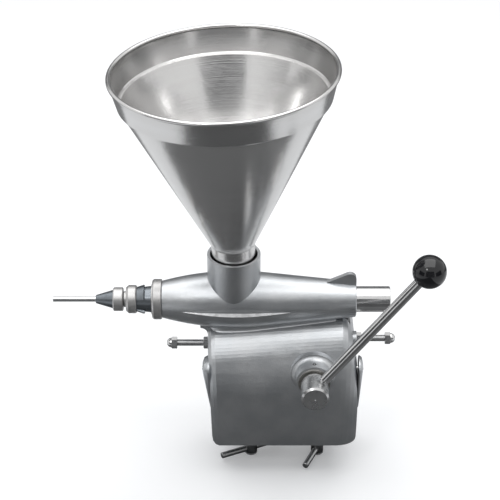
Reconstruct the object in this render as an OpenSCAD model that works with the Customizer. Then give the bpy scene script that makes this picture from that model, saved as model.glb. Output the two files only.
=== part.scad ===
// Hand-lever donut filler: a cast aluminium barrel on a gear case that clamps to a table edge,
// a spun steel hopper in its inlet collar, and a needle nozzle with a spring valve.
// The lever turns a toothed sector, which drives a rack cut in the piston.
//
// The modules are drawn about the barrel: X runs along it with the nozzle towards -X, Y points
// away from the operator and Z is up, with zero where the collar's axis meets the barrel's.
// The finished part has its origin on the clamp's seat face, midway between the clamp screws.

/* [Barrel] */
// Outer radius of the barrel at its thickest place
barrel_r = 35.5; // [34:0.5:38]
// X of the thickest place
barrel_peak_x = 6; // [0:1:12]
// X of the barrel's shoulder at the nozzle end
barrel_left_x = -88; // [-92:1:-85]
// Outer radius at that shoulder
barrel_left_r = 23.1; // [22.5:0.1:25]
// X of the open end that the piston leaves
barrel_right_x = 150; // [145:1:160]
// Taper of the straight half, in degrees
barrel_taper = 5.8; // [5:0.1:6.2]
// Radius of the bend between the thickest place and the taper
barrel_bend_r = 240; // [180:10:300]
// Radius of the threaded spigot at the nozzle end
spigot_r = 20; // [19:0.5:21]
// Length of that spigot
spigot_len = 6; // [5:0.5:7]
// Thickness of the lug on top of the open end
lug_t = 6; // [5:0.5:8]
// Height of the lug over the barrel's axis
lug_h = 38.2; // [36:0.2:42]
// X where the lug leaves the barrel
lug_start_x = 110; // [104:1:116]
// Radius of the lug's outer corner
lug_corner_r = 8; // [5:0.5:9]

/* [Inlet collar] */
// Outer radius of the collar
collar_r = 32.5; // [32:0.5:34]
// Radius of its socket for the hopper's neck
socket_r = 29; // [28.6:0.1:30]
// Height of the collar's lip over the barrel's axis
collar_h = 66; // [60:1:75]
// Height of the ledge that the neck stands on
ledge_h = 22; // [20:1:26]
// Radius of the food passage at the ledge
throat_r = 24; // [22:0.5:25]
// Radius of the port where the passage meets the bore
port_r = 14; // [12:0.5:15]

/* [Gear case] */
// X of the left side at the underside
case_left_x = -28; // [-31:1:-26]
// X of the right side at the underside
case_right_x = 152.9; // [151.9:0.5:157.9]
// Draft of both sides, which widens the case upwards, in degrees
case_draft = 1.9; // [0.5:0.1:2.5]
// Z of the underside
case_bottom_z = -184; // [-190:1:-180]
// Y of the rear face
case_rear_y = 45; // [42:1:50]
// Y of the foremost point of the belly
belly_y = -58; // [-62:1:-56]
// Z of that point
belly_z = -150; // [-156:1:-144]
// Radius of the belly
belly_r = 400; // [300:10:500]
// Radius of the shoulder under the barrel
shoulder_r = 38; // [34:1:42]
// Z of the shoulder's top at the left side
shoulder_left_z = -32; // [-34:1:-30]
// Z of the shoulder's top at the right side
shoulder_right_z = -20; // [-24:1:-18]
// Rounding of the left edges
edge_left_r = 9; // [6:0.5:10]
// Rounding of the right edges
edge_right_r = 8; // [6:0.5:10]
// Length along X of the slope at the upper right corner
corner_len = 24; // [18:1:26]
// Drop of that slope
corner_drop = 110; // [90:5:115]
// Wall at the ends of the gear case
case_wall = 9; // [8:0.5:10]
// Thickness of the case's floor, over the table
case_floor = 8; // [7:0.5:10]
// Margin of the rear window inside the cavity
window_margin = 13; // [12:1:15]
// Radius of the raised teardrop on each side
cheek_r = 14.5; // [12:0.5:15]
// How far the left teardrop stands out
cheek_left_h = 7.5; // [5:0.5:9]
// How far the right teardrop stands out
cheek_right_h = 4.5; // [3:0.5:6]

/* [Table clamp] */
// Z of the seat face that rests on the table
seat_z = -115; // [-117:1:-113]
// Height of the gap for the table
gap_h = 45; // [40:1:48]
// Y of the gap's closed end
throat_y = -38; // [-40:1:-34]
// X midway between the clamp screws
clamp_x = 64; // [60:1:68]
// Y of the clamp screws
clamp_y = -8; // [-12:1:0]
// Spacing of the clamp screws
clamp_spacing = 86; // [86:1:96]
// Thread radius of a clamp screw
clamp_screw_r = 8; // [7:0.5:9]
// Z of a clamp screw's lower end
clamp_end_z = -233; // [-240:1:-228]
// Radius of a pad
pad_r = 13; // [12:0.5:15]
// Thickness of a pad
pad_t = 9; // [8:0.5:11]
// Radius of a tommy bar
bar_r = 4; // [3:0.25:4.5]
// Length of a tommy bar
bar_len = 84; // [70:1:84]
// Height of a tommy bar over the screw's end
bar_up = 8; // [7:0.5:10]
// Directions of the left and the right tommy bar, in degrees
bar_angles = [25, 66.6];

/* [Drive] */
// X of the lever shaft
shaft_x = 98; // [96:1:99]
// Radius of the lever shaft
shaft_r = 10; // [9:0.5:11]
// Tooth module
tooth_m = 2.5;
// Teeth on a full turn of the sector
tooth_count = 49;
// Depth of the rack's pitch line under the piston's axis
rack_drop = 13; // [12.8:0.1:13.2]
// Width of the sector's teeth
tooth_w = 14; // [12:0.5:15]
// Free play between two flanks
backlash = 0.5; // [0.4:0.05:0.7]
// Lever travel, in degrees
lever_travel = 44; // [36:1:44]
// Outer radius of the bushes
bush_r = 13; // [12.5:0.5:14]
// Outer radius of the sector's hub
sector_hub_r = 16; // [15:0.5:17]
// Radius of the stop segment on the sector
stop_seg_r = 42; // [41:0.5:43]
// Side of the square key
key_w = 6; // [5:0.5:7]
// Length of the key
key_len = 24; // [18:1:28]

/* [Lever] */
// Radius of the boss that carries the front bush
boss_r = 22.5; // [20:0.5:24]
// Y of the boss's face
boss_y = -72; // [-75:0.2:-70]
// Radius of the front bush's flange
bush_flange_r = 19.5; // [18:0.5:21]
// Thickness of that flange
bush_flange_t = 2.4; // [2:0.2:3]
// Radius of the lever's hub
hub_r = 16.8; // [16:0.2:18]
// Length of the hub
hub_len = 31.8; // [28:0.2:34]
// Chamfer of the hub's cap
hub_chamfer = 2.2; // [1:0.2:3]
// Thickness of the washer behind the hub
washer_t = 1.6; // [1.2:0.2:2.4]
// Radius of the lever rod
rod_r = 6.25; // [5.5:0.25:7]
// Lean of the lever at rest, in degrees from upright
lever_lean = 37.3; // [30:0.1:40]
// Distance from the shaft to the middle of the knob
lever_len = 213; // [190:1:230]
// Radius of the ball knob
knob_r = 20; // [17.5:0.5:22.5]
// Radius of the pin through the hub
hub_pin_r = 3; // [2.5:0.25:3.5]

/* [Piston] */
// Radius of the piston
piston_r = 16; // [15.5:0.1:16.2]
// X of the piston's front face at rest
piston_front_x = 15; // [14.6:0.1:18]
// X of its outer end at rest
piston_end_x = 192; // [188:1:200]
// Depth of a seal groove
seal_depth = 2; // [1.5:0.1:2.5]
// Width of a seal
seal_w = 3; // [2.5:0.1:3.5]

/* [Stop screws] */
// Y of both stop screws
stop_y = -14; // [-15:0.5:-13]
// Z of the left and the right stop screw
stop_z = [-55.4, -48.6];
// Thread radius of a stop screw
stop_r = 4; // [3.5:0.25:4.5]
// X of the outer end of the left cap nut
stop_left_x = -84; // [-90:1:-78]
// X of the outer end of the right cap nut
stop_right_x = 200; // [194:1:206]
// Width across the flats of the nuts
nut_af = 13; // [12:0.5:14]
// Thickness of a lock nut
lock_nut_t = 6.3; // [5:0.1:7]
// Thickness of a cap nut's hexagon
cap_hex_t = 7; // [6:0.2:8]
// X of the faced pad under the right lock nut
stop_pad_x = 151.5; // [151:0.5:154]

/* [Nozzle] */
// Outer radius of the union ring
ring_r = 25; // [24:0.5:27]
// Length of the union ring
ring_len = 11.6; // [11:0.2:13]
// Radius of the opening in the ring's lip
ring_hole_r = 17.2; // [16.8:0.1:17.4]
// Radius of the valve body behind the ring
valve_root_r = 16.4; // [15.8:0.1:16.8]
// Radius of the valve body at its nose
valve_nose_r = 14.3; // [13:0.1:15]
// X of the valve body's nose
valve_nose_x = -120; // [-124:1:-118]
// Radius of the bayonet ring
bayonet_r = 17.5; // [16:0.5:18.5]
// Length of the bayonet ring
bayonet_len = 12.9; // [12:0.1:14]
// Length of the neck in front of it
neck_len = 3.7; // [3:0.1:5]
// Radius of that neck
neck_r = 9.9; // [9:0.1:10.5]
// Outer radius of the knurled nozzle nut
nut_r = 14.7; // [13.5:0.1:16]
// Length of the nozzle nut
nut_len = 12.4; // [11:0.2:14]
// Length of the nozzle's cone
cone_len = 21.5; // [18:0.5:25]
// Radius of the cone where it leaves the nut
cone_root_r = 11.6; // [11:0.1:12]
// Radius of the cone's tip
cone_tip_r = 5.3; // [4.5:0.1:6]
// Outer radius of the needle tube
tube_r = 3.2; // [2.8:0.1:3.6]
// Bore radius of the needle tube
tube_bore_r = 2.4; // [2:0.1:2.5]
// Radius of the tube's reduced end inside the cone
tube_root_r = 2.9; // [2.7:0.05:3]
// Length of the tube in front of the cone
tube_len = 53; // [40:1:70]
// Radius of the valve ball
ball_r = 7; // [6.5:0.1:7.2]
// Radius of the hole that the ball closes
seat_r = 5; // [4.5:0.1:5.5]
// Radius of the valve chamber
chamber_r = 9.5; // [9:0.1:10]
// Lift of the valve ball
ball_lift = 3.5; // [2.5:0.1:4]
// Wire radius of the valve spring
wire_r = 0.5; // [0.4:0.05:0.6]
// Turns of the valve spring
spring_turns = 6; // [4:1:8]

/* [Hopper] */
// Lean of the hopper in its loose socket, in degrees
hopper_lean = 2.4; // [0:0.1:2.6]
// Outer radius of the neck
hopper_neck_r = 26.6; // [25.5:0.1:26.8]
// Height of the weld between neck and cone
hopper_weld_h = 81; // [80:1:95]
// Radius of the cone where the band starts
hopper_cone_r = 121.3; // [115:0.1:130]
// Height of that place
hopper_cone_h = 275; // [260:1:300]
// Radius of the band under the rim
hopper_band_r = 131.4; // [125:0.1:140]
// Height of the band, from cone to rim
hopper_band_len = 29.9; // [18:0.1:34]
// Step between cone and band
hopper_step = 2.4; // [2:0.2:4]
// Radius of the rolled rim
rim_r = 2.6; // [2:0.1:4]
// Thickness of the sheet
sheet_t = 1.2; // [1:0.1:2]

/* [Fits] */
// Radial play of a running or threaded fit
run_fit = 0.05; // [0.02:0.01:0.1]
// Radial play of pieces that are fixed to each other
set_fit = 0.01; // [0.01:0.01:0.03]
// Gap between faces that may touch in use
face_gap = 0.3; // [0.2:0.05:0.4]

/* [Hidden] */
$fn = 96;

eps = 0.01;

// The drive train
gear_r = tooth_m * tooth_count / 2;
gear_pitch = 360 / tooth_count;
pressure_angle = 20;
tip_r = gear_r + tooth_m;
root_r = gear_r - 1.25 * tooth_m;
base_r = gear_r * cos(pressure_angle);
shaft_z = -(rack_drop + gear_r);
rack_pitch = PI * tooth_m;
travel_teeth = ceil(lever_travel / gear_pitch);
// The sector reaches from just behind the meshing tooth to the last one that the travel needs
sector_back = 1.5 * gear_pitch;
sector_front = (travel_teeth + 0.67) * gear_pitch;
// The toothed web stands this many degrees proud of the stop segment's flanks
web_margin = 0.8;
rack_flat = piston_r - 0.5;
rack_root = rack_drop - 1.24 * tooth_m;

// The barrel
bore_r = piston_r + run_fit;
bend_end_x = barrel_peak_x + barrel_bend_r * sin(barrel_taper);
bend_end_r = barrel_r - barrel_bend_r * (1 - cos(barrel_taper));
barrel_right_r = bend_end_r - (barrel_right_x - bend_end_x) * tan(barrel_taper);
left_rho = (pow(barrel_peak_x - barrel_left_x, 2) + pow(barrel_r - barrel_left_r, 2))
    / (2 * (barrel_r - barrel_left_r));

// The gear case
seat_bottom_z = seat_z - gap_h;
cavity_left_x = case_left_x + case_wall;
cavity_right_x = case_right_x - case_wall;
cavity_floor_z = seat_z + case_floor;
cavity_roof_z = -47;
cavity_rear_y = case_rear_y - 8;
case_slope_x = case_right_x - corner_len;
fillet_r = 9;
gear_room_r = tip_r + 1;
gear_room_w = tooth_w + 2;
stop_room_r = stop_seg_r + 1.5;
stop_seg_w = -2 * stop_y - tooth_w;
cheek_y = -36;
// The flat spot that the left lock nut sits on, a little inside the drafted side
stop_seat_left_x = case_left_at(stop_z[0]) + 0.4;
cheek_z = -77;

// The rear cover
gasket_t = 1;
cover_t = 6;
cover_y = case_rear_y + gasket_t;
cover_boss_r = bush_r + 6;
cover_boss_out = 5;
window_left_x = cavity_left_x + window_margin;
window_right_x = cavity_right_x - window_margin;
window_low_z = cavity_floor_z + 7;
window_high_z = cavity_roof_z - 3;
cover_lap = 10;
cover_screw_r = 2.5;

// The shaft and what it carries
rear_bush_y = case_rear_y - 11;
rear_bush_end = cover_y + cover_t + cover_boss_out - 4;
front_bush_end = -41;
hub_back_y = boss_y - bush_flange_t - washer_t;
hub_front_y = hub_back_y - hub_len;
shaft_front_y = hub_front_y + 6;
shaft_rear_y = rear_bush_end - 2;
rod_y = hub_back_y - 0.38 * hub_len;
knob_step = lever_len - knob_r + 3;
knob_seat = lever_len - 0.55 * knob_r;
knob_stud_r = 5;

// The nozzle, from the barrel outwards
spigot_end_x = barrel_left_x - spigot_len;
gasket_w = 1.5;
flange_back_x = spigot_end_x - gasket_w;
flange_t = 2;
ring_back_x = barrel_left_x - 0.9;
ring_front_x = ring_back_x - ring_len;
lip_x = flange_back_x - flange_t;
thread_r = spigot_r + run_fit;
seat_x = -103;
ball_x = seat_x - sqrt(ball_r * ball_r - seat_r * seat_r);
nose_spigot_r = 11.5;
nose_spigot_len = 8;
bayonet_front_x = valve_nose_x - bayonet_len;
neck_front_x = bayonet_front_x - neck_len;
nut_front_x = neck_front_x - nut_len;
cone_front_x = nut_front_x - cone_len;
adapter_thread_r = 8;
adapter_bore_r = 4;
adapter_end_x = neck_front_x - 7.5;
cone_flange_r = nut_r - 1.6;
cone_flange_t = 2;
tube_root_len = 10;
spring_r = 5.4;
spring_start_x = ball_x - sqrt(ball_r * ball_r - spring_r * spring_r) - wire_r - 0.5;
spring_end_x = valve_nose_x - nose_spigot_len + wire_r + 0.05;
spring_sides = 6;
spring_steps = 8;

// The hopper
hopper_pivot_h = 60;
hopper_neck_end = hopper_pivot_h
    + (ledge_h + face_gap - hopper_pivot_h + hopper_neck_r * sin(hopper_lean)) / cos(hopper_lean);
hopper_band_h = hopper_cone_h + hopper_step;
hopper_top_h = hopper_band_h + hopper_band_len - hopper_step;

// The stop screws
left_swing = sector_back + lever_travel;
stop_tip_left = shaft_x - stop_reach(stop_z[0] - shaft_z, left_swing) + stop_r;
stop_tip_right = shaft_x + stop_reach(stop_z[1] - shaft_z, sector_front) - stop_r;

// Distance from the shaft to the middle of a domed tip that meets a radial flank
function stop_reach(up, flank) = (stop_r + face_gap + up * sin(flank)) / cos(flank);

// Finishes as they show
cast_grey = [0.70, 0.71, 0.72];
steel = [0.78, 0.77, 0.75];
chrome = [0.86, 0.86, 0.87];
zinc = [0.62, 0.64, 0.66];
bronze = [0.72, 0.53, 0.28];
rubber = [0.12, 0.12, 0.12];
black = [0.03, 0.03, 0.035];

// ---------------------------------------------------------------- helpers

// A profile of [radius, x] points, turned about the barrel's axis
module turned(points) {
    rotate([0, 90, 0]) rotate_extrude() polygon(points);
}

// A rod along X
module rod_x(r, x0, x1) {
    translate([min(x0, x1), 0, 0]) rotate([0, 90, 0]) cylinder(r = r, h = abs(x1 - x0));
}

// A rod along Y
module rod_y_at(r, y0, y1) {
    translate([0, y0, 0]) rotate([-90, 0, 0]) cylinder(r = r, h = y1 - y0);
}

// Children turned to the lever's direction, with their Z along the rod
module lever_frame(y) {
    translate([shaft_x, y, shaft_z]) rotate([0, lever_lean, 0]) children();
}

module at_shaft() {
    translate([shaft_x, 0, shaft_z]) children();
}

// A plate in the XZ plane, given by its outline and its two Y faces
module plate_y(y0, y1) {
    translate([0, y1, 0]) rotate([90, 0, 0]) linear_extrude(y1 - y0) children();
}

// A hexagon nut along X from x0, with a round hole
module hex_x(x0, t, hole_r) {
    difference() {
        intersection() {
            translate([x0, 0, 0]) rotate([0, 90, 0]) rotate([0, 0, 30])
                cylinder(r = nut_af / 2 / cos(30), h = t, $fn = 6);
            turned([[0, x0], [0.53 * nut_af, x0], [0.6 * nut_af, x0 + 0.09 * nut_af],
                    [0.6 * nut_af, x0 + t - 0.09 * nut_af], [0.53 * nut_af, x0 + t], [0, x0 + t]]);
        }
        rod_x(hole_r, x0 - 1, x0 + t + 1);
    }
}

// ---------------------------------------------------------------- body

// Outer profile of the barrel, as [radius, x]
function barrel_left_arc(n = 12) = [for (i = [0 : n - 1])
    let (x = barrel_left_x + (barrel_peak_x - barrel_left_x) * i / n)
    [barrel_r - left_rho + sqrt(left_rho * left_rho - pow(barrel_peak_x - x, 2)), x]];
function barrel_bend(n = 4) = [for (i = [0 : n]) let (a = barrel_taper * i / n)
    [barrel_r - barrel_bend_r * (1 - cos(a)), barrel_peak_x + barrel_bend_r * sin(a)]];

module barrel_outside() {
    turned(concat([[0, barrel_left_x]], barrel_left_arc(), barrel_bend(),
        [[barrel_right_r, barrel_right_x - 1], [barrel_right_r - 1, barrel_right_x],
         [0, barrel_right_x]]));
}

// The lug on top of the open end, with its rounded corner
module lug() {
    corner_x = barrel_right_x - lug_corner_r;
    plate_y(-lug_t / 2, lug_t / 2)
        polygon(concat([[lug_start_x, 16], [lug_start_x, 24]],
            [for (a = [120 : -15 : 0])
                [corner_x + lug_corner_r * cos(a), lug_h - lug_corner_r + lug_corner_r * sin(a)]],
            [[barrel_right_x, 16]]));
}

// X of the drafted left or right side at a height
function case_left_at(z) = case_left_x - (z - case_bottom_z) * tan(case_draft);
function case_right_at(z) = case_right_x + (z - case_bottom_z) * tan(case_draft);

// Children leaning outwards with the draft: dir is -1 for the left side and 1 for the right
module drafted(dir) {
    k = dir * tan(case_draft);
    multmatrix([[1, 0, k, -k * case_bottom_z], [0, 1, 0, 0], [0, 0, 1, 0], [0, 0, 0, 1]])
        children();
}

// Height of the case's shoulder at a place along X
function shoulder_top(x) =
    shoulder_left_z
    + (shoulder_right_z - shoulder_left_z) * (x - case_left_x) / (case_right_x - case_left_x)
    - (x > case_slope_x
        ? corner_drop * (1 - sqrt(1 - pow((x - case_slope_x) / corner_len, 2))) : 0);

// Side view of the case as [y, z]: belly, shoulder, top and rear
function case_profile(x) =
    let (top = shoulder_top(x),
         run = belly_r - shoulder_r,
         a = asin((top - shoulder_r - belly_z) / run),
         low = -asin((belly_z - case_bottom_z) / belly_r))
    concat(
        [for (i = [0 : 8]) let (t = low + (a - low) * i / 8)
            [belly_y + belly_r * (1 - cos(t)), belly_z + belly_r * sin(t)]],
        [for (i = [1 : 12]) let (t = a + (90 - a) * i / 12)
            [belly_y + belly_r - run * cos(a) - shoulder_r * cos(t),
             belly_z + run * sin(a) + shoulder_r * sin(t)]],
        [[case_rear_y, top], [case_rear_y, case_bottom_z]]);

// A thin slice of the case across X, drawn in all round
module case_slice(x, inset) {
    translate([x - eps / 2, 0, 0]) rotate([90, 0, 90]) linear_extrude(eps)
        offset(delta = -inset) polygon(case_profile(x));
}

// The case's outside: slices whose inset follows a quarter round at either end
module case_outside() {
    hull() {
        drafted(-1) for (a = [0 : 30 : 90]) {
            case_slice(case_left_x + edge_left_r * (1 - sin(a)), edge_left_r * (1 - cos(a)));
        }
        drafted(1) for (a = [0 : 15 : 90]) {
            case_slice(case_right_x - corner_len * (1 - sin(a)), edge_right_r * (1 - cos(a)));
        }
    }
}

// A domed teardrop that stands out of a side wall, tapering downwards
module cheek(x, dir, h) {
    tail_z = seat_z - 14;
    tail_x = dir < 0 ? case_left_at(tail_z) : case_right_at(tail_z);
    hull() {
        translate([x, cheek_y, cheek_z]) rotate([0, dir * 90, 0]) {
            cylinder(r = cheek_r, h = 0.3 * h, $fn = 48);
            cylinder(r = 0.85 * cheek_r, h = 0.75 * h, $fn = 48);
            cylinder(r = 0.45 * cheek_r, h = h, $fn = 48);
        }
        translate([tail_x - dir, throat_y - 6, tail_z]) rotate([0, dir * 90, 0])
            cylinder(r = 3, h = 1.2, $fn = 24);
    }
}

// The fillet round the foot of the boss, turned about the shaft
module boss_fillet() {
    r = 6;
    foot_y = belly_y + 3.5;
    at_shaft() rotate([-90, 0, 0]) rotate_extrude() polygon(concat(
        [[boss_r - 2, foot_y + 8], [boss_r - 2, foot_y - r]],
        [for (a = [0 : 15 : 90]) [boss_r + r * (1 - cos(a)), foot_y - r * (1 - sin(a))]],
        [[boss_r + r, foot_y + 8]]));
}

// The web that rounds off the step from the barrel's underside to the case's left side
module corner_fillet() {
    corner_z = shoulder_left_z - 3;
    x0 = case_left_at(corner_z);
    plate_y(-12, 12) polygon(concat([[x0 + 6, corner_z - fillet_r]],
        [for (a = [0 : 15 : 90])
            [x0 - fillet_r * (1 - cos(a)), corner_z - fillet_r * (1 - sin(a))]],
        [[x0 - fillet_r, -20], [x0 + 6, -20]]));
}

// The gear case's cavity, open to the rear through its window
module case_cavity() {
    translate([cavity_left_x, 0, 0]) rotate([90, 0, 90])
        linear_extrude(cavity_right_x - cavity_left_x)
            polygon([[throat_y - 8, cavity_floor_z], [throat_y - 5, shaft_z - 10],
                     [throat_y, shaft_z + 10], [throat_y + 15, cavity_roof_z],
                     [cavity_rear_y, cavity_roof_z], [cavity_rear_y, cavity_floor_z]]);
    translate([window_left_x, cavity_rear_y - 1, window_low_z])
        cube([window_right_x - window_left_x, case_rear_y - cavity_rear_y + 2,
              window_high_z - window_low_z]);
}

// Room above the cavity for the turning sector and its stop segment
module sector_room() {
    intersection() {
        union() {
            at_shaft() rod_y_at(gear_room_r, -gear_room_w / 2, gear_room_w / 2);
            at_shaft() rod_y_at(stop_room_r, stop_y - stop_seg_w / 2 - 1, 0);
        }
        translate([cavity_left_x, -60, cavity_roof_z - 30])
            cube([cavity_right_x - cavity_left_x, 120, 80]);
    }
}

module food_passage() {
    translate([0, 0, ledge_h]) cylinder(r = socket_r, h = collar_h);
    cylinder(r1 = port_r - 4, r2 = throat_r, h = ledge_h + eps);
    cylinder(r = port_r, h = 18);
}

// Places of the rear cover's screws, as [x, z]
function cover_screw_places() = [
    for (x = [window_left_x - 5, (window_left_x + window_right_x) / 2, window_right_x + 5])
        for (z = [window_low_z - 5, window_high_z + 5]) [x, z]];

// Upper part of the casting: barrel, spigot, lug and inlet collar
module barrel_casting() {
    color(cast_grey) difference() {
        union() {
            barrel_outside();
            rod_x(spigot_r, spigot_end_x, barrel_left_x + 1);
            lug();
            cylinder(r = collar_r, h = collar_h);
        }
        rod_x(bore_r, spigot_end_x - 1, barrel_right_x + 1);
        food_passage();
        sector_room();
    }
}

// Lower part of the casting: gear case, clamp jaws and boss, cradling the barrel
module body_casting() {
    color(cast_grey) difference() {
        union() {
            case_outside();
            at_shaft() rod_y_at(boss_r, boss_y, -40);
            boss_fillet();
            cheek(cheek_base_x(0) + 1, -1, cheek_left_h + 1);
            cheek(cheek_base_x(1) - 1, 1, cheek_right_h + 1);
            corner_fillet();
            translate([0, stop_y, stop_z[1]]) rod_x(nut_af / 2 + 2.5, stop_pad_x - 16, stop_pad_x);
        }
        barrel_outside();
        case_cavity();
        sector_room();
        at_shaft() rod_y_at(bush_r + set_fit, boss_y - 1, front_bush_end + 1);
        at_shaft() rod_y_at(sector_hub_r + 1.5, front_bush_end, throat_y + 16);
        // The gap for the table, open on three sides
        translate([case_left_x - 20, throat_y, seat_bottom_z])
            cube([case_right_x - case_left_x + 40, case_rear_y - throat_y + 1, gap_h]);
        for (side = [-1, 1]) {
            translate([clamp_x + side * clamp_spacing / 2, clamp_y, case_bottom_z - 1])
                cylinder(r = clamp_screw_r + run_fit, h = seat_bottom_z - case_bottom_z + 2);
        }
        translate([0, stop_y, stop_z[0]])
            rod_x(stop_r + run_fit, stop_seat_left_x - 1, cavity_left_x + 1);
        translate([0, stop_y, stop_z[0]])
            rod_x(nut_af / 2 + 2.5, stop_seat_left_x - 8, stop_seat_left_x);
        translate([0, stop_y, stop_z[1]])
            rod_x(stop_r + run_fit, stop_tip_right - 6, stop_pad_x + 1);
        for (side = [0, 1]) plug_hole(side);
        for (p = cover_screw_places()) {
            translate([p[0], 0, p[1]])
                rod_y_at(cover_screw_r + set_fit, case_rear_y - 7, case_rear_y + 1);
        }
    }
}

// Outer face of a teardrop: 0 is the left one, 1 the right one
function cheek_base_x(side) = side == 0 ? case_left_at(cheek_z) : case_right_at(cheek_z) - 1.5;
function cheek_face_x(side) =
    side == 0 ? cheek_base_x(0) - cheek_left_h : cheek_base_x(1) + cheek_right_h;
plug_r = 2.5;
plug_depth = 8;
plug_z = cheek_z - 1;

module plug_hole(side) {
    x = cheek_face_x(side);
    inward = side == 0 ? 1 : -1;
    translate([0, cheek_y, plug_z]) rod_x(plug_r + set_fit, x - inward, x + inward * plug_depth);
}

// Grease plugs, each with a slot across its face
module side_plugs() {
    color(chrome) for (side = [0, 1]) {
        x = cheek_face_x(side);
        inward = side == 0 ? 1 : -1;
        translate([0, cheek_y, plug_z]) difference() {
            rod_x(plug_r, x - inward * 0.6, x + inward * plug_depth);
            translate([x - 0.8, -0.5, -plug_r - 1]) cube([1.6, 1, 2 * plug_r + 2]);
        }
    }
}

module cover_outline(grow) {
    offset(r = 6) translate([window_left_x - grow + 6, window_low_z - grow + 6])
        square([window_right_x - window_left_x + 2 * grow - 12,
                window_high_z - window_low_z + 2 * grow - 12]);
}

module rear_cover() {
    color(cast_grey) difference() {
        union() {
            plate_y(cover_y, cover_y + cover_t) cover_outline(cover_lap);
            at_shaft() rod_y_at(cover_boss_r, rear_bush_y, cover_y + cover_t + cover_boss_out);
        }
        at_shaft() rod_y_at(bush_r + set_fit, rear_bush_y - 1, rear_bush_end);
        for (p = cover_screw_places()) {
            translate([p[0], 0, p[1]])
                rod_y_at(cover_screw_r + 0.25, cover_y - 1, cover_y + cover_t + 1);
        }
    }
}

module cover_gasket() {
    color(rubber) difference() {
        plate_y(case_rear_y, cover_y) cover_outline(cover_lap);
        plate_y(case_rear_y - 1, cover_y + 1)
            translate([window_left_x, window_low_z])
                square([window_right_x - window_left_x, window_high_z - window_low_z]);
        for (p = cover_screw_places()) {
            translate([p[0], 0, p[1]])
                rod_y_at(cover_screw_r + 0.25, case_rear_y - 1, cover_y + 1);
        }
    }
}

// Socket-head screws that hold the rear cover
module cover_screws() {
    head_y = cover_y + cover_t;
    color(zinc) for (p = cover_screw_places()) {
        translate([p[0], 0, p[1]]) difference() {
            union() {
                rod_y_at(cover_screw_r, case_rear_y - 6, head_y + 1);
                rod_y_at(4.2, head_y, head_y + 4.6);
            }
            translate([0, head_y + 2, 0]) rotate([-90, 0, 0])
                cylinder(r = 2.3, h = 4, $fn = 6);
        }
    }
}

// ---------------------------------------------------------------- drive

module front_bush() {
    flange_y = boss_y - bush_flange_t;
    color(bronze) at_shaft() difference() {
        union() {
            rod_y_at(bush_r, flange_y, front_bush_end);
            rod_y_at(bush_flange_r, flange_y, boss_y);
        }
        rod_y_at(shaft_r + run_fit, flange_y - 1, front_bush_end + 1);
    }
}

module rear_bush() {
    color(bronze) at_shaft() difference() {
        rod_y_at(bush_r, rear_bush_y, rear_bush_end);
        rod_y_at(shaft_r + run_fit, rear_bush_y - 1, rear_bush_end + 1);
    }
}

// Room for the key, half in the shaft and half in the sector's hub
module key_room(fit) {
    translate([-key_w / 2 - fit, -key_len / 2, -shaft_r - key_w / 2 - fit])
        cube([key_w + 2 * fit, key_len, key_w + 2 * fit]);
}

module lever_shaft() {
    color(steel) at_shaft() difference() {
        rod_y_at(shaft_r, shaft_front_y, shaft_rear_y);
        key_room(set_fit);
        translate([0, rod_y, 0]) rotate([0, lever_lean, 0])
            translate([0, 0, shaft_r - 2]) cylinder(r = 4.5, h = 4);
        translate([0, hub_pin_y(), -20]) cylinder(r = hub_pin_r + set_fit, h = 40);
    }
}

function hub_pin_y() = hub_back_y - 0.78 * hub_len;

module drive_key() {
    color(steel) at_shaft() key_room(0);
}

// Half the angle of a tooth at radius r, in degrees
function inv_deg(a) = tan(a) * 180 / PI - a;
function tooth_half(r) =
    (PI * tooth_m / 2 - backlash) / (2 * gear_r) * 180 / PI
    + inv_deg(pressure_angle) - inv_deg(acos(base_r / r));
function polar(r, a) = [r * sin(a), r * cos(a)];

// One involute tooth centred on angle c, measured from the upright towards +X
function tooth_points(c, n = 5) = concat(
    [for (i = [0 : n]) let (r = root_r + (tip_r - root_r) * i / n) polar(r, c - tooth_half(r))],
    [for (i = [n : -1 : 0]) let (r = root_r + (tip_r - root_r) * i / n) polar(r, c + tooth_half(r))]);

module sector_gear() {
    hub_back = front_bush_end + face_gap;
    hub_end = rear_bush_y - face_gap;
    color(zinc) at_shaft() difference() {
        union() {
            plate_y(-tooth_w / 2, tooth_w / 2)
                polygon(concat([[0, 0], polar(root_r, -sector_back - web_margin)],
                    [for (k = [-1 : travel_teeth]) each tooth_points(k * gear_pitch)],
                    [polar(root_r, sector_front + web_margin)]));
            plate_y(stop_y - stop_seg_w / 2, 0)
                polygon(concat([[0, 0]],
                    [for (i = [0 : 10])
                        polar(stop_seg_r, -sector_back + (sector_back + sector_front) * i / 10)]));
            rod_y_at(sector_hub_r, hub_back, hub_end);
        }
        rod_y_at(shaft_r + set_fit, hub_back - 1, hub_end + 1);
        key_room(set_fit);
    }
}

// ---------------------------------------------------------------- lever

module thrust_washer() {
    color(steel) at_shaft() difference() {
        rod_y_at(hub_r - 2, hub_back_y + face_gap / 2, boss_y - bush_flange_t - face_gap / 2);
        rod_y_at(shaft_r + run_fit, hub_back_y - 1, boss_y + 1);
    }
}

// The hub, with a centre mark in its chamfered cap
module lever_hub() {
    color(chrome) at_shaft() difference() {
        rotate([-90, 0, 0]) rotate_extrude()
            polygon([[0, hub_front_y], [hub_r - hub_chamfer, hub_front_y],
                     [hub_r, hub_front_y + hub_chamfer], [hub_r, hub_back_y - 0.6],
                     [hub_r - 0.6, hub_back_y], [0, hub_back_y]]);
        rod_y_at(shaft_r + set_fit, shaft_front_y, hub_back_y + 1);
        translate([0, hub_front_y, 0]) rotate([-90, 0, 0])
            cylinder(r1 = 1.1, r2 = 0, h = 1.2, $fn = 24);
        translate([0, rod_y, 0]) rotate([0, lever_lean, 0]) cylinder(r = 4.5 + set_fit, h = 20);
        translate([0, hub_pin_y(), -20]) cylinder(r = hub_pin_r + set_fit, h = 40);
    }
}

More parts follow.
